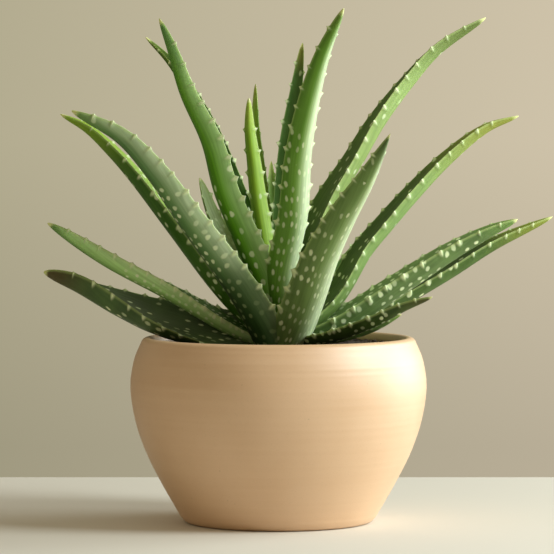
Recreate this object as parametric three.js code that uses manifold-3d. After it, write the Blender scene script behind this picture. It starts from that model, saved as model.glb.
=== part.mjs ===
// Potted aloe vera: fleshy toothed leaves in a rosette on a short stem, which stands
// in soil in a bellied ceramic pot. Millimetres, +Z up, front of the plant towards -Y.
// The origin is the middle of the pot's foot, on the surface that the pot stands on.

import * as THREE from 'three';
import { mergeVertices } from 'three/addons/utils/BufferGeometryUtils.js';
import Module from 'manifold-3d';

// Clearance between neighbouring solids, and how near two points are to be one. Where a leaf
// is thin or pointed, a cutter has to stand out by these shares of the clearance, so that
// enough of it is left all round.
const GAP = 0.3;
const SAME_POINT = 0.0001;
const CLEAR_AT_MARGIN = 1.5;
const CLEAR_ABOVE = 1.2;
const CLEAR_AT_POINT = 2;

// Pot, turned on a wheel. Each point of its outline is a radius and a height.
const POT_HEIGHT = 100;
const FOOT = [[49, 0], [51.6, 1]];
const OUTER_WALL = [
  [53.2, 3.5], [62.8, 20.3], [71.4, 37.5], [77.3, 54.8], [80, 72.5], [78.3, 87], [74.4, 97.2],
];
const MOUTH_RADIUS = 67.7;
const MOUTH_DEPTH = 4;
const LIP = [[73.2, 99.3], [71, POT_HEIGHT], [69, 99.4], [MOUTH_RADIUS, POT_HEIGHT - MOUTH_DEPTH]];
const WALL = 6.5;
const FLOOR = 8;
const FLOOR_BEND = 6;
const POT_SIDES = 32;
const POT_STEPS = 8;

// Soil, a little below the lip. Two swells and a ripple make its top uneven. They only
// dip below SOIL_TOP, so that the soil stays clear of the leaves.
const SOIL_TOP = 96.5;
const SOIL_EDGE_RADIUS = MOUTH_RADIUS - 2 * GAP;
const SOIL_RINGS = [54, 38, 24];
const SOIL_UNEVEN = 0.6;
const SOIL_SWELLS = [7, 9];
const SOIL_RIPPLE = 5;
const RIPPLE_SHARE = 0.6;

// Stem: a short crown that the leaves grow from, rooted in the soil
const STEM_ROOT = 62;
const STEM_RADIUS = 12;
const STEM_OUTLINE = [
  [8, STEM_ROOT], [11, 68], [STEM_RADIUS, 82], [STEM_RADIUS, 96], [10.5, 104], [7.5, 110], [3.5, 113.4],
];
const STEM_TOP = 114;
const STEM_HOLE_RADIUS = STEM_RADIUS + GAP;
const STEM_HOLE_FLOOR = STEM_ROOT - 2 * GAP;
const STEM_SIDES = 12;

// Leaf blade: a crescent section, hollow above and strongly rounded below
const STATIONS = 9;
const TIP_CROWDING = 1.15;
const LOWER_ROWS = [-0.6, 0, 0.6];
const UPPER_ROWS = [0];
const BESIDE_MARGIN = 0.9;
const THICKNESS = 0.45;
const TIP_THICKNESS = 0.62;
const UNDERSIDE_ROUNDING = 0.75;
const CHANNEL = 0.3;
const MARGIN_HEIGHT = 0.35;
const BASE_NARROWING = 0.85;
const NARROWING_ENDS = 0.16;
const TAPER = 0.56;

// Teeth: soft thorns raised in a row along both margins. They lean to the tip, and rise
// with the sides of the channel.
const TOOTH_SPACING = 10.5;
const TOOTH_HEIGHT = 1.9;
const TOOTH_BASE = 3.2;
const TOOTH_LEAN = 1;
const TOOTH_RISE = 0.45;
const TOOTH_UNEVEN = 0.15;
const TOOTH_AT_TIP = 0.55;
const SPACING_UNEVEN = 0.2;
const ROOT_LEAD = 0.01;
const TEETH_START = 0.14;
const TEETH_END = 0.94;
const SEED = 20260;

// Leaves from the heart of the rosette outwards. A path runs up the middle of a leaf
// from inside the stem to the tip. width is the widest of the blade, plump makes its base
// thicker than usual, and taper, where it is given, is how fast it narrows to its tip. faces
// is the bearing, in degrees from +X towards +Y, that the rounded underside is turned to, at
// the base and at the tip.
const LEAVES = [
  { name: 'leaf_young_front', width: 11, taper: 0.48, faces: [265, 265], tint: 0x9fc23c,
    path: [[-2, -2, 112], [-8.5, -2, 157], [-11.5, -2, 177], [-13.2, -2, 192], [-15.6, -3, 212], [-16, -4, 229]] },
  { name: 'leaf_young_back', width: 9.5, faces: [50, 50], tint: 0x9fc23c,
    path: [[0, 4, 111], [-5.8, 7, 160], [-9.5, 8, 190], [-12, 9, 212], [-12.4, 10, 237]] },
  { name: 'leaf_young_short', width: 9, faces: [80, 80], tint: 0x8fb35a,
    path: [[2, 6, 110], [0, 12, 147], [-3, 17, 171], [-4, 20, 195]] },
  { name: 'leaf_centre_spiny', width: 13, faces: [78, 78], tint: 0x5d8436,
    path: [[2, 1, 112], [2.8, -1, 153], [3.8, 0, 180], [5.8, 1, 206], [9.9, 3, 233], [13.1, 5, 259]] },
  { name: 'leaf_centre_tall', width: 18, faces: [285, 285], tint: 0x6b9a3f,
    path: [[1.5, -5, 106], [2.5, -14, 136], [8.2, -24, 164], [11, -35, 197], [16.2, -45, 225],
      [23.2, -54, 250], [34, -62, 275]] },
  { name: 'leaf_left_tall', width: 19, faces: [252, 205], tint: 0x86b33f,
    path: [[-4, -4, 106], [-10, -9, 133.6], [-16.5, -12, 149.5], [-28.8, -18, 178.7], [-36.4, -23, 206],
      [-48.5, -27, 231.8], [-56.8, -29, 255.8], [-63.2, -30, 271]] },
  { name: 'leaf_left_tall_back', width: 14, faces: [150, 150], tint: 0x4f7431,
    path: [[-4, 4, 106], [-12, 10, 149], [-25, 18, 185], [-39, 25, 217], [-59, 31, 249], [-73, 34, 263]] },
  { name: 'leaf_right_tall', width: 21, faces: [45, -10], tint: 0x7fa355,
    path: [[4, 3, 106], [16, 9, 151], [26.5, 14, 173.5], [40.5, 20, 195.5], [54, 26, 218], [71, 33, 240],
      [86.5, 38, 256.5], [114.5, 45, 274]] },
  { name: 'leaf_back_tall', width: 15, faces: [85, 85], tint: 0x5d8436,
    path: [[1, 5, 106], [5, 28, 146], [9, 52, 173], [12, 76, 201], [14, 88, 222]] },
  { name: 'leaf_left_short', width: 14, faces: [125, 125], tint: 0x6f9355,
    path: [[-5, 3, 104], [-17, 6, 128], [-26, 9, 147], [-36, 12, 166], [-43, 14, 186]] },
  { name: 'leaf_right_curved', width: 20, faces: [32, 8], tint: 0x7fa355,
    path: [[5, 3, 100], [29, 8, 120], [46, 15, 147], [57, 19, 160], [73, 24, 178], [92, 30, 197],
      [114, 36, 213.5], [132.5, 40, 219.8]] },
  { name: 'leaf_right_front', width: 27, taper: 0.85, faces: [300, 300], tint: 0x5d8040,
    path: [[4, -6, 92], [10, -15, 106], [16.2, -24, 123], [24.2, -35, 145], [34.6, -46, 166],
      [46.8, -60, 187], [58, -75, 210]] },
  { name: 'leaf_left_behind', width: 20, faces: [172, 172], tint: 0x86b33f,
    path: [[-6, 1, 101], [-30.4, 5, 126.8], [-55, 7, 159], [-77.3, 9, 187.6], [-89.8, 10, 201.2],
      [-103.5, 11, 213.2], [-118.5, 12, 220.6]] },
  { name: 'leaf_left_front', width: 24.5, faces: [232, 203], tint: 0x6f9360,
    path: [[-3, -7, 91], [-9, -13, 106], [-18, -18, 123], [-31, -22, 142], [-49, -29, 167], [-65, -35, 190],
      [-83, -40, 209], [-109, -44, 222]] },
  { name: 'leaf_back_left', width: 17, faces: [122, 122], tint: 0x5d8436,
    path: [[-3, 5, 98], [-18, 28, 122], [-35, 55, 143], [-57, 88, 166]] },
  { name: 'leaf_back_right', width: 16, faces: [55, 55], tint: 0x5d8436,
    path: [[4, 6, 97], [24, 26, 118], [38, 50, 136], [61, 85, 165]] },
  { name: 'leaf_right_long', width: 19, faces: [25, 18], tint: 0x6b9a3f,
    path: [[6, 2, 98], [44, 12, 108], [66, 20, 120], [93, 29, 135], [119, 39, 150], [152, 50, 164]] },
  { name: 'leaf_right_low', width: 24, plump: 1.15, faces: [10, 10], tint: 0x7fa065,
    path: [[6, -3, 98], [33, -2, 109.5], [61, 1, 127], [93, 5, 147], [115, 8, 158], [130, 10, 163.5]] },
  { name: 'leaf_left_low', width: 20, faces: [150, 225], tint: 0x6f9360,
    path: [[-6, 0, 98], [-30, 2, 109], [-60, 2, 126], [-91, -3, 142], [-124, -12, 162]] },
  { name: 'leaf_back_low', width: 17, faces: [95, 95], tint: 0x5d8436,
    path: [[-1, 6, 97], [-4, 38, 113], [-6, 72, 134], [-9, 108, 154]] },
  { name: 'leaf_front_low', width: 14, faces: [328, 328], tint: 0x4f6a3a,
    path: [[5, -4, 97], [28, -20, 102], [49, -32, 110], [67, -41, 119], [81, -48, 124]] },
  { name: 'leaf_front_small', width: 9, faces: [345, 345], tint: 0x7fa065,
    path: [[7, -2, 98], [33, -6, 100], [50, -10, 105], [66, -14, 113]] },
  { name: 'leaf_left_lowest', width: 28, plump: 1.3, faces: [65, 215], tint: 0x4f6a3a,
    path: [[-7, 1, 97], [-40, 5, 103], [-67, 7, 110.5], [-86, 9, 118.8], [-107, 12, 128.5], [-128, 16, 134.6]] },
];

const wasm = await Module();
wasm.setup();

// Seeded random numbers from 0 to 1
function randomFrom(seed) {
  let state = seed;
  return () => {
    state = (Math.imul(state, 1664525) + 1013904223) >>> 0;
    return state / 4294967296;
  };
}

// A closed geometry as a solid that can be joined and cut
function toSolid(geometry) {
  const bare = geometry.index ? geometry.toNonIndexed() : geometry.clone();
  bare.deleteAttribute('normal');
  bare.deleteAttribute('uv');
  const merged = mergeVertices(bare, SAME_POINT);
  return new wasm.Manifold(new wasm.Mesh({
    numProp: 3,
    vertProperties: new Float32Array(merged.attributes.position.array),
    triVerts: new Uint32Array(merged.index.array),
  }));
}

function toGeometry(solid) {
  const mesh = solid.getMesh();
  const geometry = new THREE.BufferGeometry();
  geometry.setAttribute('position', new THREE.Float32BufferAttribute(mesh.vertProperties, 3));
  geometry.setIndex(Array.from(mesh.triVerts));
  geometry.computeVertexNormals();
  return geometry;
}

// The largest of the pieces that a cut leaves
function largestPiece(solid) {
  const pieces = solid.decompose();
  return pieces.reduce((best, piece) => (piece.volume() > best.volume() ? piece : best));
}

// Width of the blade at a place, as a share of its widest. A place is 0 at the base of
// a leaf and 1 at its tip.
function widthShare(leaf, place) {
  const rise = Math.min(1, place / NARROWING_ENDS);
  const base = BASE_NARROWING + (1 - BASE_NARROWING) * Math.sin(rise * Math.PI / 2);
  return base * (1 - place * place) ** (leaf.taper ?? TAPER);
}

// Where a leaf is at a place, and how its blade lies there
function bladeFrame(leaf, place) {
  const centre = leaf.curve.getPointAt(place);
  const along = leaf.curve.getTangentAt(place);
  const bearing = THREE.MathUtils.degToRad(THREE.MathUtils.lerp(...leaf.faces, place));
  const down = new THREE.Vector3(Math.cos(bearing), Math.sin(bearing), -1);
  down.addScaledVector(along, -down.dot(along)).normalize();
  const across = new THREE.Vector3().crossVectors(along, down);
  const width = leaf.width * widthShare(leaf, place);
  const baseThickness = THICKNESS * (leaf.plump ?? 1);
  const thickness = width * THREE.MathUtils.lerp(baseThickness, TIP_THICKNESS, place * place);
  return { centre, along, down, across, width, thickness };
}

// A point of the section: sideways from -1 to 1, and a depth below the margins
function sectionPoint(frame, sideways, depth, grow) {
  const point = frame.centre.clone();
  point.addScaledVector(frame.across, sideways * (frame.width / 2 + CLEAR_AT_MARGIN * grow));
  point.addScaledVector(frame.down, depth - MARGIN_HEIGHT * frame.thickness);
  return point;
}

// Rounded underside and hollow upper side of the section
function lowerDepth(frame, sideways, grow) {
  return (frame.thickness + grow) * (1 - sideways * sideways) ** UNDERSIDE_ROUNDING;
}

function upperDepth(frame, sideways, grow) {
  return CHANNEL * frame.thickness * (1 - sideways * sideways) - CLEAR_ABOVE * grow;
}

function stationPlaces() {
  return Array.from({ length: STATIONS }, (_, i) => 1 - (1 - i / STATIONS) ** TIP_CROWDING);
}

// One lengthwise row of points on the blade, with more points where asked
function bladeRow(leaf, sideways, depthOf, grow, extraPlaces = []) {
  const places = [...stationPlaces(), ...extraPlaces].sort((a, b) => a - b);
  return places.map((place) => {
    const frame = bladeFrame(leaf, place);
    return { place, point: sectionPoint(frame, sideways, depthOf(frame, sideways, grow), grow) };
  });
}

// Where the teeth of a leaf stand on one margin: unevenly, smaller to the tip
function toothPlaces(leaf, random) {
  const length = leaf.curve.getLength();
  const uneven = (amount) => 1 + amount * (2 * random() - 1);
  const teeth = [];
  let at = TEETH_START * length + TOOTH_SPACING * random();
  while (at < TEETH_END * length) {
    const place = at / length;
    const size = uneven(TOOTH_UNEVEN) * THREE.MathUtils.lerp(1, TOOTH_AT_TIP, place * place);
    teeth.push({ place, size, halfBase: TOOTH_BASE * size / 2 / length });
    at += TOOTH_SPACING * uneven(SPACING_UNEVEN);
  }
  return teeth;
}

// A margin of the blade, from station to station and out to the point of each tooth
function marginRow(leaf, side, grow) {
  const widen = CLEAR_AT_POINT * grow / leaf.curve.getLength();
  const marginPoint = (place, height, lean) => {
    const frame = bladeFrame(leaf, place);
    const point = sectionPoint(frame, side, -grow, grow);
    point.addScaledVector(frame.across, side * height);
    point.addScaledVector(frame.down, -TOOTH_RISE * height);
    return point.addScaledVector(frame.along, lean);
  };
  const row = stationPlaces().map((place) => ({ place, point: marginPoint(place, 0, 0) }));
  return leaf.teeth[side].reduce((points, tooth) => {
    const from = tooth.place - tooth.halfBase - widen;
    const to = tooth.place + tooth.halfBase + widen;
    const height = TOOTH_HEIGHT * tooth.size + CLEAR_AT_POINT * grow;
    const outside = points.filter(({ place }) => place < from || place > to);
    const start = { place: from, point: marginPoint(from, 0, 0) };
    const tip = { place: tooth.place, point: marginPoint(tooth.place, height, TOOTH_LEAN * tooth.size) };
    const end = { place: to, point: marginPoint(to, 0, 0) };
    return [...outside, start, tip, end].sort((a, b) => a.place - b.place);
  }, row);
}

// Triangles between two neighbouring rows, whichever row is behind moving on first
function stitch(index, left, right) {
  let i = 0;
  let j = 0;
  while (i < left.length - 1 || j < right.length - 1) {
    const leftNext = i < left.length - 1 ? left[i + 1].place : Infinity;
    const rightNext = j < right.length - 1 ? right[j + 1].place : Infinity;
    if (leftNext <= rightNext) {
      index.push(left[i].number, right[j].number, left[i + 1].number);
      i += 1;
    } else {
      index.push(left[i].number, right[j].number, right[j + 1].number);
      j += 1;
    }
  }
}

// A whole leaf with its teeth, larger by grow where it is used to cut its neighbours. The
// rows beside a margin have a point just before each tooth's tip, so that the sides of the
// tooth end there.
function leafSolid(leaf, grow) {
  const besideMargin = (side, depthOf) => {
    const roots = leaf.teeth[side].map((tooth) => tooth.place - ROOT_LEAD * tooth.halfBase);
    return bladeRow(leaf, side * BESIDE_MARGIN, depthOf, grow, roots);
  };
  const rows = [
    marginRow(leaf, -1, grow),
    besideMargin(-1, lowerDepth),
    ...LOWER_ROWS.map((sideways) => bladeRow(leaf, sideways, lowerDepth, grow)),
    besideMargin(1, lowerDepth),
    marginRow(leaf, 1, grow),
    besideMargin(1, upperDepth),
    ...UPPER_ROWS.map((sideways) => bladeRow(leaf, sideways, upperDepth, grow)),
    besideMargin(-1, upperDepth),
  ];
  const start = leaf.curve.getPointAt(0);
  const end = leaf.curve.getPointAt(1);
  end.addScaledVector(leaf.curve.getTangentAt(1), CLEAR_AT_POINT * grow);
  const points = [start, end];
  rows.flat().forEach((spot) => {
    spot.number = points.length;
    points.push(spot.point);
  });
  const index = [];
  rows.forEach((row, r) => {
    const next = rows[(r + 1) % rows.length];
    index.push(0, next[0].number, row[0].number);
    stitch(index, row, next);
    index.push(row[row.length - 1].number, next[next.length - 1].number, 1);
  });
  const geometry = new THREE.BufferGeometry().setFromPoints(points);
  geometry.setIndex(index);
  return toSolid(geometry);
}

// A turned body, from a profile of radii and heights; heightAt may move points up or down
function latheSolid(profile, sides, heightAt) {
  const points = profile.map(([radius, height]) => new THREE.Vector2(radius, height));
  const lathe = new THREE.LatheGeometry(points, sides);
  lathe.rotateX(Math.PI / 2);
  const place = lathe.attributes.position;
  for (let i = 0; heightAt && i < place.count; i += 1) {
    place.setZ(i, heightAt(place.getX(i), place.getY(i), place.getZ(i)));
  }
  return toSolid(lathe);
}

function outerWall() {
  const points = OUTER_WALL.map(([radius, height]) => new THREE.Vector2(radius, height));
  return new THREE.SplineCurve(points).getPoints(POT_STEPS).map((point) => [point.x, point.y]);
}

// Inner wall from the mouth down to the floor, a wall's thickness inside the outer one
function innerWall(clearance) {
  const top = POT_HEIGHT - 2 * MOUTH_DEPTH;
  const wall = outerWall().filter(([, height]) => height > FLOOR + FLOOR_BEND && height < top);
  const inside = wall.map(([radius, height]) => [radius - WALL - clearance, height]).reverse();
  const corner = inside[inside.length - 1];
  return [...inside, [corner[0] - FLOOR_BEND, FLOOR + clearance], [0, FLOOR + clearance]];
}

function potSolid() {
  return latheSolid([[0, 0], ...FOOT, ...outerWall(), ...LIP, ...innerWall(0)], POT_SIDES);
}

function stemSolid(grow) {
  const side = STEM_OUTLINE.map(([radius, height]) => [radius + grow, height]);
  return latheSolid([[0, STEM_ROOT - grow], ...side, [0, STEM_TOP + grow]], STEM_SIDES);
}

// The soil fills the pot, is a little uneven on top and has a plain round hole for the stem
function soilSolid() {
  const hole = STEM_HOLE_RADIUS;
  const fill = innerWall(GAP).reverse();
  const top = [SOIL_EDGE_RADIUS, ...SOIL_RINGS, hole].map((radius) => [radius, SOIL_TOP]);
  const profile = [...fill, ...top, [hole, STEM_HOLE_FLOOR], [0, STEM_HOLE_FLOOR]];
  return latheSolid(profile, POT_SIDES, (x, y, z) => (z === SOIL_TOP ? z - soilDip(x, y) : z));
}

// How far the top of the soil lies below SOIL_TOP
function soilDip(x, y) {
  const swell = Math.sin(x / SOIL_SWELLS[0] + 1) * Math.cos(y / SOIL_SWELLS[1]);
  const ripple = RIPPLE_SHARE * Math.sin((x - y) / SOIL_RIPPLE);
  return SOIL_UNEVEN * (1 + RIPPLE_SHARE - swell - ripple);
}

// All that lies below the top of the soil, where no leaf reaches
function groundSolid() {
  const top = SOIL_TOP + GAP;
  return latheSolid([[0, 0], [SOIL_EDGE_RADIUS, 0], [SOIL_EDGE_RADIUS, top], [0, top]], POT_SIDES);
}

const rosette = LEAVES.map((leaf) => {
  const points = leaf.path.map((point) => new THREE.Vector3(...point));
  return { ...leaf, curve: new THREE.CatmullRomCurve3(points, false, 'centripetal') };
});

const plant = new THREE.Group();

function addPiece(name, solid, colour, roughness) {
  const material = new THREE.MeshStandardMaterial({ color: colour, roughness, metalness: 0 });
  const piece = new THREE.Mesh(toGeometry(solid), material);
  piece.name = name;
  plant.add(piece);
}

addPiece('pot', potSolid(), 0xc9a27a, 0.6);
addPiece('soil', soilSolid(), 0x2b2019, 0.95);
addPiece('stem', stemSolid(0), 0x8f9a5a, 0.7);

// Each leaf is cut clear of the stem, of the soil and of every leaf nearer the heart
const random = randomFrom(SEED);
const cutters = [stemSolid(GAP), groundSolid()];
for (const leaf of rosette) {
  leaf.teeth = { [-1]: toothPlaces(leaf, random), 1: toothPlaces(leaf, random) };
  const cut = leafSolid(leaf, 0).subtract(wasm.Manifold.union(cutters));
  addPiece(leaf.name, largestPiece(cut), leaf.tint, 0.55);
  cutters.push(leafSolid(leaf, GAP));
}

export default plant;
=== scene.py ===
# The looks of a potted aloe vera: fine leaves with soft teeth and pale spots, a turned
# ceramic pot and dark potting mix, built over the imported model. Blender units are metres.
# Sizes of the plant and the pot are millimetres here, and MM turns them into metres. Those
# of bumps, the floor, the lights and the camera are metres.

import math

import bpy
import numpy as np
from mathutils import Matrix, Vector, noise


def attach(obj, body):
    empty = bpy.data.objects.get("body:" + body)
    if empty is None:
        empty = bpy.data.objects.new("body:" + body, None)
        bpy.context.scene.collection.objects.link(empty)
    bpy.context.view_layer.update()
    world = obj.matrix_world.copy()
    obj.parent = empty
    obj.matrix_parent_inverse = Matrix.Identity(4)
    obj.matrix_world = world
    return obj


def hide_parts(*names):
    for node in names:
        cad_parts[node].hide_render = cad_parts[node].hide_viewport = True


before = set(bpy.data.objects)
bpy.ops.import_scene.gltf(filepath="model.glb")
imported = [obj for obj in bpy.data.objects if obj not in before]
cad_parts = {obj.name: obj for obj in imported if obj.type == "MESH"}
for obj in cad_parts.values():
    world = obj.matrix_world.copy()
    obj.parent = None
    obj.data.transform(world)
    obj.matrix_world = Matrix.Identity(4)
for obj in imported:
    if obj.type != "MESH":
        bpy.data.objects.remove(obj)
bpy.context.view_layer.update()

MM = 0.001

# The seed of the teeth and of the crumbs of soil
SEED = 20260

# Pot outline, radius and height of each point
POT_HEIGHT = 100
FOOT = [(0, 0), (46, 0), (49, 0.15), (50.6, 0.7), (51.6, 1.6)]
OUTER_WALL = [
    (53.2, 3.5), (62.8, 20.3), (71.4, 37.5), (77.3, 54.8), (80, 72.5), (78.3, 87), (74.4, 97.2),
]
MOUTH_RADIUS = 67.7
LIP = [
    (73.3, 99), (71.9, 99.8), (70.6, POT_HEIGHT), (69.3, 99.6), (68.3, 98.5), (67.8, 97),
    (MOUTH_RADIUS, 95),
]
POT_SIDES = 160
WALL_STEPS = 96
LIP_STEPS = 32

# Inside of the pot: how thick its wall and floor are, how far the bend between them reaches,
# how far below the top the plain wall ends, and of how many of the wall's points one is kept
WALL = 6.5
FLOOR = 8
FLOOR_BEND = 6
LIP_DEPTH = 8
INSIDE_SKIP = 6

# Marks of the turning: height, half width and how far each stands out. Round the pot they
# slant, and they fade, each turned from the one before.
TURNING_MARKS = [(77.2, 0.7, 0.22), (75.4, 0.5, -0.12), (93.2, 0.6, 0.12), (96.4, 0.5, -0.1), (40, 1.2, 0.08)]
MARK_SLANT = 0.5
MARK_FADING = 0.4
MARK_TURNED = 1.7

# Fine rings all the way up the pot, and a slow swell. The foot is left plain.
RING_OUT = 0.05
RING_PACE = 1.9
RING_SLANT = 0.4
RING_FADING_PACE = 0.31
SWELL_OUT = 0.12
SWELL_TURNED = 0.6
SWELL_HEIGHT = 30
PLAIN_HEIGHT = 4
PLAIN_RADIUS = 51.7

# Soil, which keeps clear of the pot and of the stem. Its top is rolling, in waves of which
# the width and the height are given, and rises no further than SOIL_RISE.
SOIL_TOP = 95.6
SOIL_EDGE_RADIUS = 67.1
STEM_HOLE_RADIUS = 12.3
CLEARANCE = 0.3
SOIL_SIDES = 144
SOIL_RINGS = 60
SOIL_WAVES = [(16, 1.1), (5, 0.6), (1.8, 0.45)]
SOIL_RISE = 0.9

# Crumbs on the soil: how many, and the least and most of how far out they lie, how big they
# are, what is left of that, how they are stretched and how far each corner is pulled. The
# middle of each lies a small share of its size below the top of the soil.
CRUMBS = 1500
CRUMB_RADII = (14, 65.5)
CRUMB_SIZES = (0.35, 1.5)
CRUMB_SHRINK = (0.6, 1)
CRUMB_STRETCH = (0.6, 1.3)
CRUMB_UNEVEN = (0.75, 1.2)
CRUMB_SUNK = 0.1

# Stem outline, radius and height of each point, and the ridges round it
STEM_OUTLINE = [(8, 62), (11, 68), (12, 82), (12, 96), (10.5, 104), (7.5, 110), (3.5, 113.4)]
STEM_ROOT = 62
STEM_TOP = 114
STEM_SIDES = 48
STEM_STEPS = 60
RIDGE_DEPTH = 0.02
RIDGE_PACE = 1.6
RIDGE_SLANT = 2

# Leaf blade: a crescent section, hollow above and strongly rounded below. Thicknesses are
# shares of the width.
THICKNESS = 0.45
TIP_THICKNESS = 0.62
UNDERSIDE_ROUNDING = 0.75
CHANNEL = 0.3
MARGIN_HEIGHT = 0.35
BASE_NARROWING = 0.85
NARROWING_ENDS = 0.16
TAPER = 0.56
UNDERSIDE_STEPS = 20
UPPER_STEPS = 14

# Rows of points along a blade: how many even ones there are, how much they crowd together
# towards the tip, where the last one is, and how close two may be
STATIONS = 64
TIP_CROWDING = 1.25
LAST_ROW = 0.9985
LEAST_STEP = 0.12

# Teeth along both margins
TOOTH_SPACING = 10.5
TOOTH_HEIGHT = 1.9
TOOTH_FOOT = 2.6
TOOTH_LEAN = 1
TOOTH_RISE = 0.45
TOOTH_UNEVEN = 0.15
TOOTH_AT_TIP = 0.55
SPACING_UNEVEN = 0.2
TEETH_START = 0.14
TEETH_END = 0.94
TOOTH_SHARPNESS = 1.5
TOOTH_REACH = 1.9
TOOTH_FADING = 1.5
TOOTH_STATIONS = (-1, -0.6, -0.35, -0.16, 0, 0.16, 0.35, 0.6, 1)

# Markings: how far the pale line of a margin reaches, the way from the middle of a side round
# to its margin as a share of the width, and how far apart two leaves are on the pattern of
# spots, so that no two are marked alike
MARGIN_REACH = 0.9
ROUND_THE_SIDE = 0.6
PATTERN_SHIFT = 400

# Spots: how far apart they usually are, across a leaf and along it, where they usually thin
# out and to how few, and where one fades, as a share of the space for it
SPOT_CELL = (3.4, 7)
SPOTS_FROM = 0.25
SPOTS_TO = 0.85
FEWEST_SPOTS = 0.04
SPOT_FADES = (0.14, 0.29)

# Where the painted shade of the darker side and the painted light of the paler side fade, counted
# from where the one turns into the other, where the painted shade of a base and the pale point
# of a tip do, and the usual shine of the skin
PAINTED_SHADE_FADES = (-0.8, 0.3)
PAINTED_LIGHT_FADES = (-0.05, 0.85)
SHADE_FADES = (0.24, 0.38)
POINT_FADES = (0.972, 0.992)
SHINE = 0.28

# Sockets of a node that mixes two colours
MIX_SHARE, MIX_FIRST, MIX_SECOND, MIX_RESULT = 0, 6, 7, 2


def srgb(*levels):
    """A colour given as on a screen, from 0 to 255, as the linear one that a shader takes."""
    linear = (((level / 255 + 0.055) / 1.055) ** 2.4 if level > 10 else level / 3295 for level in levels)
    return (*linear, 1)


# Colours of the leaves
UNDER = srgb(112, 150, 74)
UPPER = srgb(72, 104, 44)
OLIVE = srgb(146, 150, 52)
BROWN = srgb(92, 78, 46)
PALE_TIP = srgb(214, 218, 150)
# The next two colours are painted shade, darkening the side of a leaf in shade and its base deep in the
# rosette, and painted light, paling the side that the light falls on
PAINTED_SHADE = srgb(104, 132, 84)
PAINTED_LIGHT = srgb(224, 234, 196)
STREAK = srgb(84, 132, 66)
CLOUD = srgb(140, 178, 100)
SPOT = srgb(218, 232, 184)
MARGIN = srgb(186, 204, 132)
TOOTH = srgb(214, 228, 176)

# Colours of the pot, the soil, the stem, the floor and the wall behind it
GLAZE = (srgb(221, 180, 137), srgb(226, 187, 146))
GLAZE_BAND = srgb(229, 192, 152)
GLAZE_SPECK = srgb(186, 152, 120)
GLAZE_PIT = srgb(164, 130, 98)
CRUMB_COLOURS = (srgb(24, 17, 11), srgb(72, 54, 38))
FIBRE = srgb(112, 88, 62)
STEM_COLOURS = (srgb(120, 128, 70), srgb(150, 138, 92))
FLOOR_COLOURS = (srgb(217, 212, 199), srgb(221, 216, 204))
# The wall's two colours are painted shade, from its darker left to its lighter right
WALL_PAINTED_SHADE_COLOURS = (srgb(178, 171, 143), srgb(207, 195, 170))

# Light: what both lights point at, the colour of the room and how strong it is from the side
# and from overhead, how far to each side and downwards the wall's painted shade reaches, and how
# bright the wall is at the bottom
LIT_PLACE = (0, 0, 0.12)
ROOM_COLOUR = (0.28, 0.245, 0.175, 1)
ROOM_STRENGTH = (0.72, 1.7)
WALL_REACH = 0.09
WALL_BOTTOM = 0.78

# Camera: its place, how many degrees it dips, the width of its picture in millimetres and in
# the photo's pixels, and its focal length in those pixels
CAMERA_PLACE = (-0.0008, -1.836, 0.207)
CAMERA_DIP = 2.324
SENSOR_WIDTH = 36
PHOTO_WIDTH = 554
FOCAL_LENGTH = 3400
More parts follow.
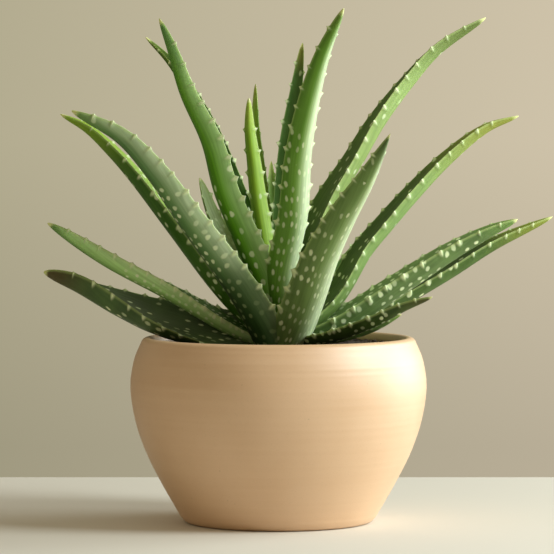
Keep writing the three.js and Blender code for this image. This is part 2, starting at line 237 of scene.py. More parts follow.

# Leaves from the heart of the rosette outwards, as they are in the imported model. path runs
# up the middle of a leaf, width is its widest, plump makes its base thicker than usual, and
# taper is how fast it narrows to its tip. faces is the bearing that the underside is turned
# to, at the base and at the tip. under and upper are the colours of its two sides, spots is
# how densely it is spotted, thinning out from spots_from to spots_to, and cell is how far
# apart its spots are, across and along. tip is the colour that it turns to from tip_from on.
# sides is how much painted shade darkens it towards one margin, how much painted light pales it
# towards the other, and where between them, from -1 to 1, the one turns into the other. shade is
# how much painted shade darkens its base, deep in the rosette. shine is how glossy its skin is,
# where it isn't as usual.
LEAVES = [
    dict(name="leaf_young_front", width=11, taper=0.48, faces=(265, 265), under=srgb(164, 204, 58),
         upper=srgb(112, 156, 36), sides=(0.5, 0.15, 0), spots=0.12, tip=srgb(178, 196, 84), tip_from=0.8,
         path=[(-2, -2, 112), (-8.5, -2, 157), (-11.5, -2, 177), (-13.2, -2, 192), (-15.6, -3, 212),
               (-16, -4, 229)]),
    dict(name="leaf_young_back", width=9.5, faces=(50, 50), under=srgb(130, 170, 44),
         upper=srgb(168, 208, 72), sides=(0.3, 0.2, 0), spots=0.1, tip=srgb(178, 190, 90), tip_from=0.85,
         path=[(0, 4, 111), (-5.8, 7, 160), (-9.5, 8, 190), (-12, 9, 212), (-12.4, 10, 237)]),
    dict(name="leaf_young_short", width=9, faces=(80, 80), under=srgb(140, 176, 84),
         upper=srgb(140, 176, 90), spots=0.3, tip=srgb(196, 208, 130), tip_from=0.8,
         path=[(2, 6, 110), (0, 12, 147), (-3, 17, 171), (-4, 20, 195)]),
    dict(name="leaf_centre_spiny", width=13, faces=(78, 78), under=srgb(104, 146, 64),
         upper=srgb(70, 108, 42), spots=0.2, tip=srgb(150, 150, 70), tip_from=0.86,
         path=[(2, 1, 112), (2.8, -1, 153), (3.8, 0, 180), (5.8, 1, 206), (9.9, 3, 233), (13.1, 5, 259)]),
    dict(name="leaf_centre_tall", width=18, faces=(285, 285), under=srgb(126, 182, 60),
         upper=srgb(84, 120, 50), sides=(0.6, 0.85, -0.35), spots=0.85, spots_from=0.45, spots_to=0.72,
         cell=(3.4, 7.4), tip=srgb(104, 136, 52), tip_from=0.85,
         path=[(1.5, -5, 106), (2.5, -14, 136), (8.2, -24, 164), (11, -35, 197), (16.2, -45, 225),
               (23.2, -54, 250), (34, -62, 275)]),
    dict(name="leaf_left_tall", width=19, faces=(252, 205), under=srgb(106, 170, 22),
         upper=srgb(84, 120, 50), sides=(0.7, 0.4, 0.3), spots=0.6, spots_to=0.7, cell=(5, 8),
         tip=srgb(92, 138, 72), tip_from=0.75,
         path=[(-4, -4, 106), (-10, -9, 133.6), (-16.5, -12, 149.5), (-28.8, -18, 178.7), (-36.4, -23, 206),
               (-48.5, -27, 231.8), (-56.8, -29, 255.8), (-63.2, -30, 271)]),
    # Its colours are darkened as painted shade, for the shade that the leaves to its right cast on it
    dict(name="leaf_left_tall_back", width=14, faces=(150, 150), under=srgb(84, 116, 48),
         upper=srgb(34, 56, 14), shine=0, spots=0.2, tip=srgb(104, 124, 58), tip_from=0.85,
         path=[(-4, 4, 106), (-12, 10, 149), (-25, 18, 185), (-39, 25, 217), (-59, 31, 249), (-73, 34, 263)]),
    dict(name="leaf_right_tall", width=21, faces=(45, -10), under=srgb(156, 180, 104),
         upper=srgb(92, 124, 56), spots=0.3, tip=srgb(88, 104, 38), tip_from=0.68,
         path=[(4, 3, 106), (16, 9, 151), (26.5, 14, 173.5), (40.5, 20, 195.5), (54, 26, 218), (71, 33, 240),
               (86.5, 38, 256.5), (114.5, 45, 274)]),
    dict(name="leaf_back_tall", width=15, faces=(85, 85), under=UNDER, upper=UPPER,
         spots=0.4, tip=srgb(140, 160, 80), tip_from=0.85,
         path=[(1, 5, 106), (5, 28, 146), (9, 52, 173), (12, 76, 201), (14, 88, 222)]),
    dict(name="leaf_left_short", width=14, faces=(125, 125), under=srgb(84, 112, 54),
         upper=srgb(190, 208, 152), spots=0.8, spots_from=0.6, cell=(3.5, 5), tip=srgb(170, 188, 120),
         tip_from=0.85, path=[(-5, 3, 104), (-17, 6, 128), (-26, 9, 147), (-36, 12, 166), (-43, 14, 186)]),
    dict(name="leaf_right_curved", width=20, faces=(32, 8), under=srgb(146, 174, 100),
         upper=srgb(82, 110, 54), spots=0.6, spots_to=0.6, cell=(4, 6), tip=OLIVE, tip_from=0.55,
         path=[(5, 3, 100), (29, 8, 120), (46, 15, 147), (57, 19, 160), (73, 24, 178), (92, 30, 197),
               (114, 36, 213.5), (132.5, 40, 219.8)]),
    dict(name="leaf_right_front", width=27, taper=0.85, faces=(300, 300), under=srgb(138, 170, 96),
         upper=srgb(70, 100, 46), sides=(0.6, 0.85, -0.4), spots=0.95, spots_from=0.35, cell=(2.9, 7.4),
         tip=srgb(70, 92, 44), tip_from=0.8,
         path=[(4, -6, 92), (10, -15, 106), (16.2, -24, 123), (24.2, -35, 145), (34.6, -46, 166),
               (46.8, -60, 187), (58, -75, 210)]),
    dict(name="leaf_left_behind", width=20, faces=(172, 172), under=srgb(60, 106, 14),
         upper=srgb(160, 190, 84), spots=0.6, tip=srgb(138, 172, 34), tip_from=0.65,
         path=[(-6, 1, 101), (-30.4, 5, 126.8), (-55, 7, 159), (-77.3, 9, 187.6), (-89.8, 10, 201.2),
               (-103.5, 11, 213.2), (-118.5, 12, 220.6)]),
    dict(name="leaf_left_front", width=24.5, faces=(232, 203), under=srgb(100, 146, 80),
         upper=srgb(90, 120, 64), sides=(0.95, 0.75, 0.35), shade=0.8, spots=0.85, spots_from=0.4,
         spots_to=0.75, cell=(5, 6), tip=srgb(104, 140, 66), tip_from=0.85,
         path=[(-3, -7, 91), (-9, -13, 106), (-18, -18, 123), (-31, -22, 142), (-49, -29, 167),
               (-65, -35, 190), (-83, -40, 209), (-109, -44, 222)]),
    dict(name="leaf_back_left", width=17, faces=(122, 122), under=UNDER, upper=UPPER,
         spots=0.5, tip=srgb(140, 160, 80), tip_from=0.85,
         path=[(-3, 5, 98), (-18, 28, 122), (-35, 55, 143), (-57, 88, 166)]),
    dict(name="leaf_back_right", width=16, faces=(55, 55), under=UNDER, upper=UPPER,
         spots=0.5, tip=srgb(140, 160, 80), tip_from=0.85,
         path=[(4, 6, 97), (24, 26, 118), (38, 50, 136), (61, 85, 165)]),
    dict(name="leaf_right_long", width=19, faces=(25, 18), under=srgb(66, 94, 26), upper=srgb(52, 76, 24),
         spots=0.6, cell=(4.5, 7), tip=srgb(134, 144, 48), tip_from=0.7,
         path=[(6, 2, 98), (44, 12, 108), (66, 20, 120), (93, 29, 135), (119, 39, 150), (152, 50, 164)]),
    dict(name="leaf_right_low", width=24, plump=1.15, faces=(10, 10), under=srgb(96, 122, 66),
         upper=srgb(116, 142, 86), spots=0.9, spots_from=0.5, spots_to=0.95, cell=(4, 6),
         tip=srgb(104, 136, 62), tip_from=0.8,
         path=[(6, -3, 98), (33, -2, 109.5), (61, 1, 127), (93, 5, 147), (115, 8, 158), (130, 10, 163.5)]),
    # Its colours are made paler as painted light, for the light that falls on its top
    dict(name="leaf_left_low", width=20, faces=(150, 225), under=srgb(186, 232, 142),
         upper=srgb(190, 234, 146), sides=(0.95, 0.8, 0.6), spots=1, spots_from=0.45, spots_to=0.75,
         cell=(3.6, 4.4), tip=srgb(84, 124, 54), tip_from=0.88,
         path=[(-6, 0, 98), (-30, 2, 109), (-60, 2, 126), (-91, -3, 142), (-124, -12, 162)]),
    dict(name="leaf_back_low", width=17, faces=(95, 95), under=UNDER, upper=UPPER,
         spots=0.6, tip=srgb(140, 150, 78), tip_from=0.85,
         path=[(-1, 6, 97), (-4, 38, 113), (-6, 72, 134), (-9, 108, 154)]),
    dict(name="leaf_front_low", width=14, faces=(328, 328), under=srgb(52, 78, 24), upper=srgb(66, 92, 38),
         spots=0.85, spots_from=0.5, spots_to=0.9, cell=(3.6, 5), tip=srgb(78, 80, 36), tip_from=0.75,
         path=[(5, -4, 97), (28, -20, 102), (49, -32, 110), (67, -41, 119), (81, -48, 124)]),
    dict(name="leaf_front_small", width=9, faces=(345, 345), under=srgb(120, 152, 84),
         upper=srgb(120, 150, 86), spots=0.7, tip=srgb(120, 150, 70), tip_from=0.85,
         path=[(7, -2, 98), (33, -6, 100), (50, -10, 105), (66, -14, 113)]),
    dict(name="leaf_left_lowest", width=28, plump=1.3, faces=(65, 215), under=srgb(70, 98, 50),
         upper=srgb(92, 112, 78), spots=0.55, tip=BROWN, tip_from=0.72,
         path=[(-7, 1, 97), (-40, 5, 103), (-67, 7, 110.5), (-86, 9, 118.8), (-107, 12, 128.5),
               (-128, 16, 134.6)]),
]


# Curves

# How the pace of a curve follows the distances between its points
EVEN_PACE = 0.5
PLAIN_PACE = 0


def random_from(seed):
    """Seeded random numbers from 0 to 1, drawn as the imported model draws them."""
    state = seed

    def draw():
        nonlocal state
        state = (state * 1664525 + 1013904223) & 0xFFFFFFFF
        return state / 4294967296

    return draw


def through(points, shares, pace):
    """Points on a Catmull-Rom curve through the given ones, at shares of it from 0 to 1."""
    given = np.array(points, float)
    held = np.array([2 * given[0] - given[1], *given, 2 * given[-1] - given[-2]])
    place = np.asarray(shares, float) * (len(given) - 1)
    first = np.minimum(place.astype(int), len(given) - 2)
    t = (place - first)[:, None]
    a, b, c, d = (held[first + k] for k in range(4))
    step = [np.linalg.norm(q - p, axis=1, keepdims=True) ** pace for p, q in ((a, b), (b, c), (c, d))]
    leave = ((b - a) / step[0] - (c - a) / (step[0] + step[1]) + (c - b) / step[1]) * step[1]
    arrive = ((c - b) / step[1] - (d - b) / (step[1] + step[2]) + (d - c) / step[2]) * step[1]
    square = -3 * b + 3 * c - 2 * leave - arrive
    cube = 2 * b - 2 * c + leave + arrive
    return b + leave * t + square * t ** 2 + cube * t ** 3


def outline_through(points, steps, pace):
    """A curve's points in so many steps, from its first point to its last."""
    return through(points, np.linspace(0, 1, steps + 1), pace)


class Spine:
    """The line up the middle of a leaf. A place on it is 0 at the base and 1 at the tip."""

    DIVISIONS = 200
    NUDGE = 0.0001

    def __init__(self, points):
        self.points = points
        self.shares = np.linspace(0, 1, self.DIVISIONS + 1)
        steps = np.linalg.norm(np.diff(through(points, self.shares, EVEN_PACE), axis=0), axis=1)
        self.reached = np.concatenate([[0], np.cumsum(steps)])
        self.length = self.reached[-1]

    def at(self, places):
        """The points at some places, and the direction towards the tip at each."""
        share = np.interp(np.asarray(places) * self.length, self.reached, self.shares)
        centre = through(self.points, share, EVEN_PACE)
        before = through(self.points, np.clip(share - self.NUDGE, 0, 1), EVEN_PACE)
        after = through(self.points, np.clip(share + self.NUDGE, 0, 1), EVEN_PACE)
        along = after - before
        return centre, along / np.linalg.norm(along, axis=1, keepdims=True)


# Meshes


def piece_from(name, points, faces, material, node):
    """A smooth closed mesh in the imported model's frame, standing for one of its nodes."""
    mesh = bpy.data.meshes.new(name)
    mesh.from_pydata((np.asarray(points, float) * MM).tolist(), [], faces)
    mesh.validate()
    mesh.shade_smooth()
    mesh.materials.append(material)
    piece = bpy.data.objects.new(name, mesh)
    bpy.context.scene.collection.objects.link(piece)
    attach(piece, "root")
    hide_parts(node)
    return piece


def give(mesh, name, values):
    """Writes one number for each point of a mesh, for its material to read."""
    layer = mesh.attributes.new(name, "FLOAT", "POINT")
    layer.data.foreach_set("value", np.asarray(values, np.float32).ravel())


def grid_faces(rows, columns, offset=0):
    """Faces between rows of points that each close on themselves."""
    faces = []
    for r in range(rows - 1):
        for c in range(columns):
            a = offset + r * columns + c
            b = offset + r * columns + (c + 1) % columns
            faces.append((a, b, b + columns, a + columns))
    return faces


def lathe(profile, sides):
    """A turned body. The profile starts and ends on the axis, and goes up its outside."""
    turn = np.arange(sides) * math.tau / sides
    ring = np.stack([np.cos(turn), np.sin(turn)], axis=1)
    points = [(0, 0, profile[0][1])]
    for radius, height in profile[1:-1]:
        points.extend((radius * x, radius * y, height) for x, y in ring)
    points.append((0, 0, profile[-1][1]))
    faces = grid_faces(len(profile) - 2, sides, 1)
    last = len(points) - 1
    top = last - sides
    for c in range(sides):
        n = (c + 1) % sides
        faces.append((0, 1 + n, 1 + c))
        faces.append((top + c, top + n, last))
    return np.array(points, float), faces


# Materials

class Nodes:
    """A material's node tree, built line by line."""

    def __init__(self, name):
        self.material = bpy.data.materials.new(name)
        self.material.use_nodes = True
        self.tree = self.material.node_tree
        self.tree.nodes.clear()
        self.shader = self.tree.nodes.new("ShaderNodeBsdfPrincipled")
        out = self.tree.nodes.new("ShaderNodeOutputMaterial")
        self.link(self.shader.outputs[0], out.inputs[0])

    def link(self, source, target):
        self.tree.links.new(source, target)

    def put(self, value, socket):
        """Links a socket to where its value comes from, or sets a constant on it."""
        if isinstance(value, bpy.types.NodeSocket):
            self.link(value, socket)
        else:
            socket.default_value = value

    def attribute(self, name):
        made = self.tree.nodes.new("ShaderNodeAttribute")
        made.attribute_name = name
        return made.outputs["Fac"]

    def math(self, operation, first, second):
        made = self.tree.nodes.new("ShaderNodeMath")
        made.operation = operation
        self.put(first, made.inputs[0])
        self.put(second, made.inputs[1])
        return made.outputs[0]

    def ramp(self, value, low, high, to_low=0.0, to_high=1.0):
        """A smooth step from to_low to to_high as value goes from low to high."""
        made = self.tree.nodes.new("ShaderNodeMapRange")
        made.interpolation_type = "SMOOTHSTEP"
        for socket, given in zip(made.inputs, (value, low, high, to_low, to_high)):
            self.put(given, socket)
        return made.outputs[0]

    def mix(self, share, first, second, blend="MIX"):
        made = self.tree.nodes.new("ShaderNodeMix")
        made.data_type = "RGBA"
        made.blend_type = blend
        self.put(share, made.inputs[MIX_SHARE])
        self.put(first, made.inputs[MIX_FIRST])
        self.put(second, made.inputs[MIX_SECOND])
        return made.outputs[MIX_RESULT]

    def vector(self, x, y):
        made = self.tree.nodes.new("ShaderNodeCombineXYZ")
        self.put(x, made.inputs[0])
        self.put(y, made.inputs[1])
        return made.outputs[0]

    def place(self, scale=(1, 1, 1)):
        """Where a point is in the object, in units of 1/scale metres."""
        coordinates = self.tree.nodes.new("ShaderNodeTexCoord")
        mapping = self.tree.nodes.new("ShaderNodeMapping")
        mapping.inputs["Scale"].default_value = scale
        self.link(coordinates.outputs["Object"], mapping.inputs[0])
        return mapping.outputs[0]

    def noise(self, vector, scale, detail, roughness=0.5):
        made = self.tree.nodes.new("ShaderNodeTexNoise")
        self.put(vector, made.inputs["Vector"])
        made.inputs["Scale"].default_value = scale
        made.inputs["Detail"].default_value = detail
        made.inputs["Roughness"].default_value = roughness
        return made.outputs["Fac"]

    def cells(self, vector, randomness, dimensions="3D"):
        """Distance to the nearest of scattered points, and two random numbers for that point."""
        made = self.tree.nodes.new("ShaderNodeTexVoronoi")
        made.voronoi_dimensions = dimensions
        self.put(vector, made.inputs["Vector"])
        made.inputs["Scale"].default_value = 1
        made.inputs["Randomness"].default_value = randomness
        split = self.tree.nodes.new("ShaderNodeSeparateColor")
        self.link(made.outputs["Color"], split.inputs[0])
        return made.outputs["Distance"], split.outputs[0], split.outputs[1]

    def bump(self, height, distance, strength, under=None):
        made = self.tree.nodes.new("ShaderNodeBump")
        made.inputs["Strength"].default_value = strength
        made.inputs["Distance"].default_value = distance
        self.link(height, made.inputs["Height"])
        if under is not None:
            self.link(under, made.inputs["Normal"])
        return made.outputs[0]

    def set(self, **values):
        """Sets the shader's own sockets, each named with _ for a space."""
        for name, value in values.items():
            self.put(value, self.shader.inputs[name.replace("_", " ")])
        return self.material


def spots_shown(n, leaf, place, across, along):
    """How strongly the pale spots of a leaf show. A spot is there by chance, in its own cell."""
    width, length = leaf.get("cell", SPOT_CELL)
    jitter = n.noise(n.vector(across, along), 0.2, 2)
    cell_x = n.math("ADD", n.math("MULTIPLY", across, 1 / width), n.math("MULTIPLY", jitter, 0.5))
    cell_y = n.math("MULTIPLY", along, 1 / length)
    distance, chance, brightness = n.cells(n.vector(cell_x, cell_y), 0.5, "2D")
    thins = leaf.get("spots_from", SPOTS_FROM)
    thinned = leaf.get("spots_to", SPOTS_TO)
    there = n.math("LESS_THAN", chance, n.ramp(place, thins, thinned, leaf["spots"], FEWEST_SPOTS))
    spot = n.math("MULTIPLY", there, n.ramp(distance, *SPOT_FADES, 1, 0))
    return n.math("MULTIPLY", spot, n.ramp(brightness, 0, 1, 0.5, 1))


def leaf_material(leaf):
    n = Nodes("aloe_" + leaf["name"])
    place = n.attribute("leaf_place")
    across = n.attribute("leaf_across")
    along = n.attribute("leaf_along")
    upper = n.attribute("leaf_upper")
    margin = n.attribute("leaf_margin")
    tooth = n.attribute("leaf_tooth")
    side = n.attribute("leaf_side")
    flat = n.vector(across, along)
    streaks = n.noise(n.vector(n.math("MULTIPLY", across, 0.9), n.math("MULTIPLY", along, 0.03)), 1, 4)
    clouds = n.noise(flat, 0.06, 3)
    skin = n.noise(flat, 0.4, 1)
    shown = spots_shown(n, leaf, place, across, along)

    # The darker side is painted shade and the paler side painted light, across the leaf from the side in
    # shade to the lit one
    dark, pale, middle = leaf.get("sides", (0, 0, 0))
    dark_low, dark_high = (middle + fade for fade in PAINTED_SHADE_FADES)
    pale_low, pale_high = (middle + fade for fade in PAINTED_LIGHT_FADES)
    colour = n.mix(upper, leaf["under"], leaf["upper"])
    colour = n.mix(n.ramp(side, dark_low, dark_high, dark, 0), colour, PAINTED_SHADE, "MULTIPLY")
    colour = n.mix(n.ramp(side, pale_low, pale_high, 0, pale), colour, PAINTED_LIGHT)
    colour = n.mix(n.ramp(streaks, 0.3, 0.7, 0, 0.3), colour, STREAK, "MULTIPLY")
    colour = n.mix(n.ramp(clouds, 0.35, 0.7, 0, 0.14), colour, CLOUD)
    colour = n.mix(n.ramp(place, leaf["tip_from"], 1, 0, 0.9), colour, leaf["tip"])
    colour = n.mix(shown, colour, SPOT)
    # Painted shade: the base is darker deep in the rosette, where shade falls
    colour = n.mix(n.ramp(place, *SHADE_FADES, leaf.get("shade", 0), 0), colour, PAINTED_SHADE, "MULTIPLY")
    colour = n.mix(n.ramp(margin, 0.4, 1, 0, 0.45), colour, MARGIN)
    colour = n.mix(n.ramp(tooth, 0.08, 0.5), colour, TOOTH)
    colour = n.mix(n.ramp(place, *POINT_FADES), colour, PALE_TIP)
    normal = n.bump(shown, 0.00015, 0.2, n.bump(skin, 0.0001, 0.15))
    return n.set(Base_Color=colour, Roughness=n.ramp(clouds, 0.3, 0.7, 0.46, 0.56), Normal=normal,
                 Specular_IOR_Level=leaf.get("shine", SHINE), Subsurface_Weight=0.12,
                 Subsurface_Radius=(0.6, 1, 0.25), Subsurface_Scale=0.003)


def pot_material():
    n = Nodes("pot_ceramic")
    clouds = n.noise(n.place(), 22, 4)
    bands = n.noise(n.place((3, 3, 260)), 1, 3)
    fine = n.noise(n.place(), 1400, 2)
    distance, chance, _ = n.cells(n.place((260, 260, 260)), 1)
    pit = n.math("MULTIPLY", n.math("LESS_THAN", chance, 0.06), n.ramp(distance, 0.06, 0.14, 1, 0))
    colour = n.mix(n.ramp(clouds, 0.35, 0.68), *GLAZE)
    colour = n.mix(n.ramp(bands, 0.35, 0.7, 0, 0.4), colour, GLAZE_BAND)
    colour = n.mix(n.ramp(fine, 0.55, 0.75, 0, 0.15), colour, GLAZE_SPECK)
    colour = n.mix(n.math("MULTIPLY", pit, 0.3), colour, GLAZE_PIT)
    normal = n.bump(bands, 0.0006, 0.12, n.bump(fine, 0.0002, 0.12))
    return n.set(Base_Color=colour, Roughness=n.ramp(bands, 0.3, 0.7, 0.5, 0.58), Normal=normal,
                 Specular_IOR_Level=1, Coat_Weight=0.5, Coat_Roughness=0.5)


def soil_material():
    n = Nodes("potting_mix")
    crumbs = n.noise(n.place(), 420, 4, 0.6)
    fibre = n.noise(n.place(), 1800, 2)
    colour = n.mix(n.ramp(crumbs, 0.3, 0.7), *CRUMB_COLOURS)
    colour = n.mix(n.ramp(fibre, 0.62, 0.74, 0, 0.5), colour, FIBRE)
    return n.set(Base_Color=colour, Roughness=0.92, Normal=n.bump(crumbs, 0.0008, 0.6))


def stem_material():
    n = Nodes("stem_skin")
    rings = n.noise(n.place((12, 12, 420)), 1, 3)
    colour = n.mix(n.ramp(rings, 0.35, 0.65), *STEM_COLOURS)
    return n.set(Base_Color=colour, Roughness=0.7, Normal=n.bump(rings, 0.0005, 0.5))


def floor_material():
    n = Nodes("floor_pale")
    clouds = n.noise(n.place(), 2.2, 3)
    return n.set(Base_Color=n.mix(n.ramp(clouds, 0.3, 0.7), *FLOOR_COLOURS), Roughness=0.75)


# Leaves

def tooth_places(length, random):
    """Where the teeth of one margin stand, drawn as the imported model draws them."""
    def uneven(amount):
        return 1 + amount * (2 * random() - 1)

    teeth = []
    at = TEETH_START * length + TOOTH_SPACING * random()
    while at < TEETH_END * length:
        share = at / length
        size = uneven(TOOTH_UNEVEN) * (1 + (TOOTH_AT_TIP - 1) * share * share)
        teeth.append((at, size))
        at += TOOTH_SPACING * uneven(SPACING_UNEVEN)
    return teeth


def tooth_profile(at, teeth):
    """How far the teeth of a margin stand out at each place, as a share of a full tooth."""
    height = np.zeros_like(at)
    for place, size in teeth:
        near = np.clip(1 - np.abs(at - place) / (TOOTH_FOOT * size), 0, 1)
        height = np.maximum(height, size * near ** TOOTH_SHARPNESS)
    return height


def width_share(leaf, place):
    """How wide a leaf is at each place, as a share of its widest."""
    rise = np.minimum(1, place / NARROWING_ENDS)
    base = BASE_NARROWING + (1 - BASE_NARROWING) * np.sin(rise * math.pi / 2)
    return base * (1 - place * place) ** leaf.get("taper", TAPER)


def thickness_share(leaf, place):
    """How thick a leaf is at each place, as a share of its width there."""
    base = THICKNESS * leaf.get("plump", 1)
    return base + (TIP_THICKNESS - base) * place * place


def leaf_stations(length, teeth):
    """Distances from the base at which the blade has a row of points, close together at each tooth."""
    last = length * LAST_ROW
    even = length * (1 - (1 - np.arange(STATIONS) / STATIONS) ** TIP_CROWDING)
    close = [place + TOOTH_FOOT * size * share for place, size in teeth for share in TOOTH_STATIONS]
    rows = np.unique(np.concatenate([even, close, [last]]))
    rows = rows[(rows >= 0) & (rows <= last)]
    kept = [rows[0]]
    for row in rows[1:]:
        if row - kept[-1] > LEAST_STEP:
            kept.append(row)
    return np.array(kept)


def leaf_section():
    """Once round a leaf, the underside from the left margin to the right one, then back above:
    how far sideways each point is, from -1 to 1, how deep, and whether it is above."""
    under = np.linspace(-90, 90, UNDERSIDE_STEPS + 1)
    above = np.linspace(90, -90, UPPER_STEPS + 1)[1:-1]
    sideways = np.sin(np.radians(np.concatenate([under, above])))
    is_upper = np.concatenate([np.zeros(len(under)), np.ones(len(above))])
    rounding = np.clip(1 - sideways ** 2, 0, 1)
    depth = np.where(is_upper > 0, CHANNEL * rounding, rounding ** UNDERSIDE_ROUNDING)
    return sideways, depth, is_upper


def towards_underside(leaf, place, along):
    """The direction that the underside of a leaf faces at each place, square to its length."""
    at_base, at_tip = leaf["faces"]
    bearing = np.radians(at_base + (at_tip - at_base) * place)
    down = np.stack([np.cos(bearing), np.sin(bearing), -np.ones_like(bearing)], axis=1)
    down -= along * (down * along).sum(axis=1, keepdims=True)
    return down / np.linalg.norm(down, axis=1, keepdims=True)


def leaf_faces(rows, columns):
    """Faces between the rows of a leaf, and from its last and first row to its tip and base."""
    faces = grid_faces(rows, columns)
    tip = rows * columns
    last = tip - columns
    for c in range(columns):
        n = (c + 1) % columns
        faces.append((last + c, last + n, tip))
        faces.append((n, c, tip + 1))
    return faces


def build_leaf(leaf, number, random):
    """One leaf with its teeth, and the numbers that its material reads."""
    spine = Spine(leaf["path"])
    left_teeth = tooth_places(spine.length, random)
    right_teeth = tooth_places(spine.length, random)
    at = leaf_stations(spine.length, left_teeth + right_teeth)
    place = at / spine.length
    centre, along = spine.at(place)
    down = towards_underside(leaf, place, along)
    across = np.cross(along, down)
    sideways, depth, is_upper = leaf_section()

    # From here on rows run along the leaf and columns round it
    width = leaf["width"] * width_share(leaf, place)[:, None]
    thickness = width * thickness_share(leaf, place)[:, None]
    from_margin = (1 - np.abs(sideways)) * width / 2
    side = np.sign(sideways)
    left, right = (tooth_profile(at, teeth)[:, None] for teeth in (left_teeth, right_teeth))
    raised = np.where(side < 0, left, right) * np.clip(1 - from_margin / TOOTH_REACH, 0, 1) ** TOOTH_FADING
    out = TOOTH_HEIGHT * raised

    def shift(direction, amount):
        return direction[:, None, :] * amount[..., None]

    points = centre[:, None, :] + shift(across, sideways * width / 2)
    points = points + shift(down, thickness * (depth - MARGIN_HEIGHT))
    points = points + shift(across, side * out) - shift(down, TOOTH_RISE * out)
    points = points + shift(along, TOOTH_LEAN * raised)
    tip, _ = spine.at([1])
    start, _ = spine.at([0])
    cloud = np.concatenate([points.reshape(-1, 3), tip, start])
    faces = leaf_faces(*raised.shape)
    piece = piece_from(leaf["name"] + "_skin", cloud, faces, leaf_material(leaf), leaf["name"])

    # What the material reads at each point, with its value at the tip. At the base it is 0.
    for name, values, at_tip in (
        ("leaf_place", place[:, None], 1),
        ("leaf_along", at[:, None] + PATTERN_SHIFT * number, spine.length),
        ("leaf_across", sideways * width * ROUND_THE_SIDE, 0),
        ("leaf_side", sideways, 0),
        ("leaf_upper", is_upper, 0),
        ("leaf_margin", np.clip(1 - from_margin / MARGIN_REACH, 0, 1), 0),
        ("leaf_tooth", raised, 0),
    ):
        give(piece.data, name, np.append(np.broadcast_to(values, raised.shape), [at_tip, 0]))


def build_leaves():
    random = random_from(SEED)
    for number, leaf in enumerate(LEAVES):
        build_leaf(leaf, number, random)


# Pot, soil and stem

def wall_inside(wall, clearance):
    """The plain part of the pot's inside, some clearance away from it, from the bottom up."""
    low, high = FLOOR + FLOOR_BEND, POT_HEIGHT - LIP_DEPTH
    return [(radius - WALL - clearance, height) for radius, height in wall if low < height < high]


def turned_unevenness(height, turn):
    """How far the pot stands out from its plain outline, at a height and a turn round it."""
    out = np.zeros(len(height))
    for k, (at, half_width, amount) in enumerate(TURNING_MARKS):
        slanted = at + MARK_SLANT * np.sin(turn + k)
        fading = 1 - MARK_FADING + MARK_FADING * np.sin(2 * turn + MARK_TURNED * k)
        out += amount * fading * np.exp(-((height - slanted) / half_width) ** 2)
    rings = np.sin(height * RING_PACE + RING_SLANT * np.sin(turn))
    out += RING_OUT * rings * np.sin(height * RING_FADING_PACE)
    out += SWELL_OUT * np.sin(2 * turn + SWELL_TURNED) * np.sin(height / SWELL_HEIGHT)
    return out


def build_pot():
    wall = outline_through(OUTER_WALL, WALL_STEPS, PLAIN_PACE)
    lip = outline_through([wall[-1], *LIP], LIP_STEPS, EVEN_PACE)[1:]
    inside = wall_inside(wall, 0)[::-INSIDE_SKIP]
    bend = (inside[-1][0] - FLOOR_BEND, FLOOR)
    points, faces = lathe([*FOOT, *wall, *lip, *inside, bend, (0, FLOOR)], POT_SIDES)
    radius = np.hypot(points[:, 0], points[:, 1])
    height = points[:, 2]
    offset = turned_unevenness(height, np.arctan2(points[:, 1], points[:, 0]))
    turned = (radius > PLAIN_RADIUS) & (height > PLAIN_HEIGHT)
    points[turned, :2] *= ((radius + offset)[turned] / radius[turned])[:, None]
    piece_from("pot_turned", points, faces, pot_material(), "pot")


def build_soil():
    wall = outline_through(OUTER_WALL, WALL_STEPS, PLAIN_PACE)
    side = wall_inside(wall, CLEARANCE)[::INSIDE_SKIP]
    bottom = FLOOR + CLEARANCE
    hole_floor = STEM_ROOT - 2 * CLEARANCE
    top = [(radius, SOIL_TOP) for radius in np.linspace(SOIL_EDGE_RADIUS, STEM_HOLE_RADIUS, SOIL_RINGS)]
    hole = [(STEM_HOLE_RADIUS, hole_floor), (0, hole_floor)]
    profile = [(0, bottom), (side[0][0] - FLOOR_BEND, bottom), *side, *top, *hole]
    points, faces = lathe(profile, SOIL_SIDES)
    for point in points:
        if point[2] == SOIL_TOP:
            spot = Vector(point)
            rolling = sum(noise.noise(spot / width) * height for width, height in SOIL_WAVES)
            point[2] += min(rolling, SOIL_RISE)
    crumbs, crumb_faces = build_crumbs(len(points))
    points = np.concatenate([points, crumbs])
    piece_from("potting_mix", points, faces + crumb_faces, soil_material(), "soil")


def lump():
    """Corners and faces of a body with twenty equal sides."""
    golden = (1 + 5 ** 0.5) / 2
    corners = np.array([
        (-1, golden, 0), (1, golden, 0), (-1, -golden, 0), (1, -golden, 0),
        (0, -1, golden), (0, 1, golden), (0, -1, -golden), (0, 1, -golden),
        (golden, 0, -1), (golden, 0, 1), (-golden, 0, -1), (-golden, 0, 1),
    ])
    faces = [
        (0, 11, 5), (0, 5, 1), (0, 1, 7), (0, 7, 10), (0, 10, 11), (1, 5, 9), (5, 11, 4), (11, 10, 2),
        (10, 7, 6), (7, 1, 8), (3, 9, 4), (3, 4, 2), (3, 2, 6), (3, 6, 8), (3, 8, 9), (4, 9, 5),
        (2, 4, 11), (6, 2, 10), (8, 6, 7), (9, 8, 1),
    ]
    return corners / np.linalg.norm(corners[0]), faces


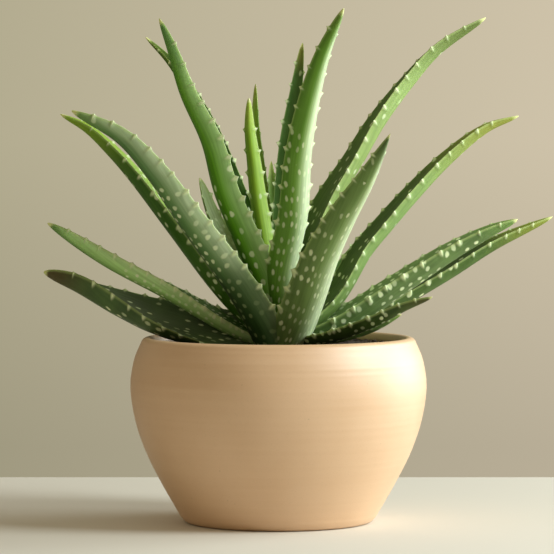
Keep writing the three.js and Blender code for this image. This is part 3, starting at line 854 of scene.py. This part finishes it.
def build_crumbs(offset):
    """Crumbs of potting mix, small uneven lumps half sunk in the top of the soil."""
    random = np.random.default_rng(SEED)
    corners, lump_faces = lump()
    nearest, farthest = CRUMB_RADII
    points = []
    faces = []
    for _ in range(CRUMBS):
        radius = math.sqrt(random.uniform(nearest ** 2, farthest ** 2))
        turn = random.uniform(0, math.tau)
        size = random.uniform(*CRUMB_SIZES) * random.uniform(*CRUMB_SHRINK)
        stretch = random.uniform(*CRUMB_STRETCH, 3)
        uneven = random.uniform(*CRUMB_UNEVEN, (len(corners), 1))
        middle = np.array([radius * math.cos(turn), radius * math.sin(turn), SOIL_TOP - CRUMB_SUNK * size])
        points.append(middle + corners * uneven * stretch * size)
        faces.extend(tuple(offset + corner for corner in face) for face in lump_faces)
        offset += len(corners)
    return np.concatenate(points), faces


def build_stem():
    outline = outline_through(STEM_OUTLINE, STEM_STEPS, EVEN_PACE)
    points, faces = lathe([(0, STEM_ROOT), *outline, (0, STEM_TOP)], STEM_SIDES)
    turn = np.arctan2(points[:, 1], points[:, 0])
    ridges = np.sin(points[:, 2] * RIDGE_PACE + RIDGE_SLANT * np.sin(turn + 1))
    points[:, :2] *= 1 - RIDGE_DEPTH * (1 + ridges[:, None])
    piece_from("stem_skin", points, faces, stem_material(), "stem")


# Floor, lights and camera

def build_floor():
    """A plain pale table top, whose far edge is the level line behind the pot."""
    side, front, back = 1.2, -1.2, 0.24
    corners = [(-side, front, 0), (side, front, 0), (side, back, 0), (-side, back, 0)]
    mesh = bpy.data.meshes.new("floor")
    mesh.from_pydata(corners, [], [(0, 1, 2, 3)])
    mesh.materials.append(floor_material())
    floor = bpy.data.objects.new("floor", mesh)
    bpy.context.scene.collection.objects.link(floor)


def area_light(name, place, size, energy, colour):
    """A round light that points at the plant."""
    light = bpy.data.lights.new(name, "AREA")
    light.shape = "DISK"
    light.size = size
    light.energy = energy
    light.color = colour
    lamp = bpy.data.objects.new(name, light)
    lamp.location = place
    lamp.rotation_euler = (Vector(LIT_PLACE) - Vector(place)).to_track_quat("-Z", "Y").to_euler()
    bpy.context.scene.collection.objects.link(lamp)


def build_lights():
    area_light("key", place=(1.14, -0.41, 0.82), size=0.6, energy=18.3, colour=(0.9, 0.98, 1))
    area_light("window", place=(1.2, 0.45, 0.4), size=0.9, energy=15, colour=(0.88, 0.97, 1))
    bpy.context.scene.world = build_world()
    bpy.context.scene.view_settings.view_transform = "Standard"


def build_world():
    """A wall behind the table for the camera, with painted shade to the left and at the bottom, and a dimmer
    warm light, mostly from above.
    """
    world = bpy.data.worlds.new("studio")
    world.use_nodes = True
    tree = world.node_tree
    tree.nodes.clear()

    def step(low, high, to_low=0, to_high=1):
        made = tree.nodes.new("ShaderNodeMapRange")
        for name, value in (("From Min", low), ("From Max", high), ("To Min", to_low), ("To Max", to_high)):
            made.inputs[name].default_value = value
        return made

    wall = tree.nodes.new("ShaderNodeBackground")
    room = tree.nodes.new("ShaderNodeBackground")
    room.inputs["Color"].default_value = ROOM_COLOUR
    seen = tree.nodes.new("ShaderNodeLightPath")
    choose = tree.nodes.new("ShaderNodeMixShader")
    out = tree.nodes.new("ShaderNodeOutputWorld")
    direction = tree.nodes.new("ShaderNodeTexCoord")
    split = tree.nodes.new("ShaderNodeSeparateXYZ")
    # Painted shade on the wall: darker to the left and towards the bottom
    sideways = step(-WALL_REACH, WALL_REACH)
    upwards = step(-WALL_REACH, 0, WALL_BOTTOM, 1)
    overhead = step(0, 1, *ROOM_STRENGTH)
    shade = tree.nodes.new("ShaderNodeMix")
    shade.data_type = "RGBA"
    for socket, colour in zip((MIX_FIRST, MIX_SECOND), WALL_PAINTED_SHADE_COLOURS):
        shade.inputs[socket].default_value = colour
    for source, target in (
        (direction.outputs["Generated"], split.inputs[0]),
        (split.outputs["X"], sideways.inputs["Value"]),
        (split.outputs["Z"], upwards.inputs["Value"]),
        (upwards.outputs[0], wall.inputs["Strength"]),
        (split.outputs["Z"], overhead.inputs["Value"]),
        (overhead.outputs[0], room.inputs["Strength"]),
        (sideways.outputs[0], shade.inputs[MIX_SHARE]),
        (shade.outputs[MIX_RESULT], wall.inputs["Color"]),
        (seen.outputs["Is Camera Ray"], choose.inputs[0]),
        (room.outputs[0], choose.inputs[1]),
        (wall.outputs[0], choose.inputs[2]),
        (choose.outputs[0], out.inputs["Surface"]),
    ):
        tree.links.new(source, target)
    return world


def build_camera():
    camera = bpy.data.cameras.new("camera")
    camera.sensor_width = SENSOR_WIDTH
    camera.lens = SENSOR_WIDTH * FOCAL_LENGTH / PHOTO_WIDTH
    holder = bpy.data.objects.new("camera", camera)
    holder.location = CAMERA_PLACE
    holder.rotation_euler = (math.radians(90 - CAMERA_DIP), 0, 0)
    bpy.context.scene.collection.objects.link(holder)
    bpy.context.scene.camera = holder


build_camera()
build_pot()
build_soil()
build_stem()
build_leaves()
build_floor()
build_lights()
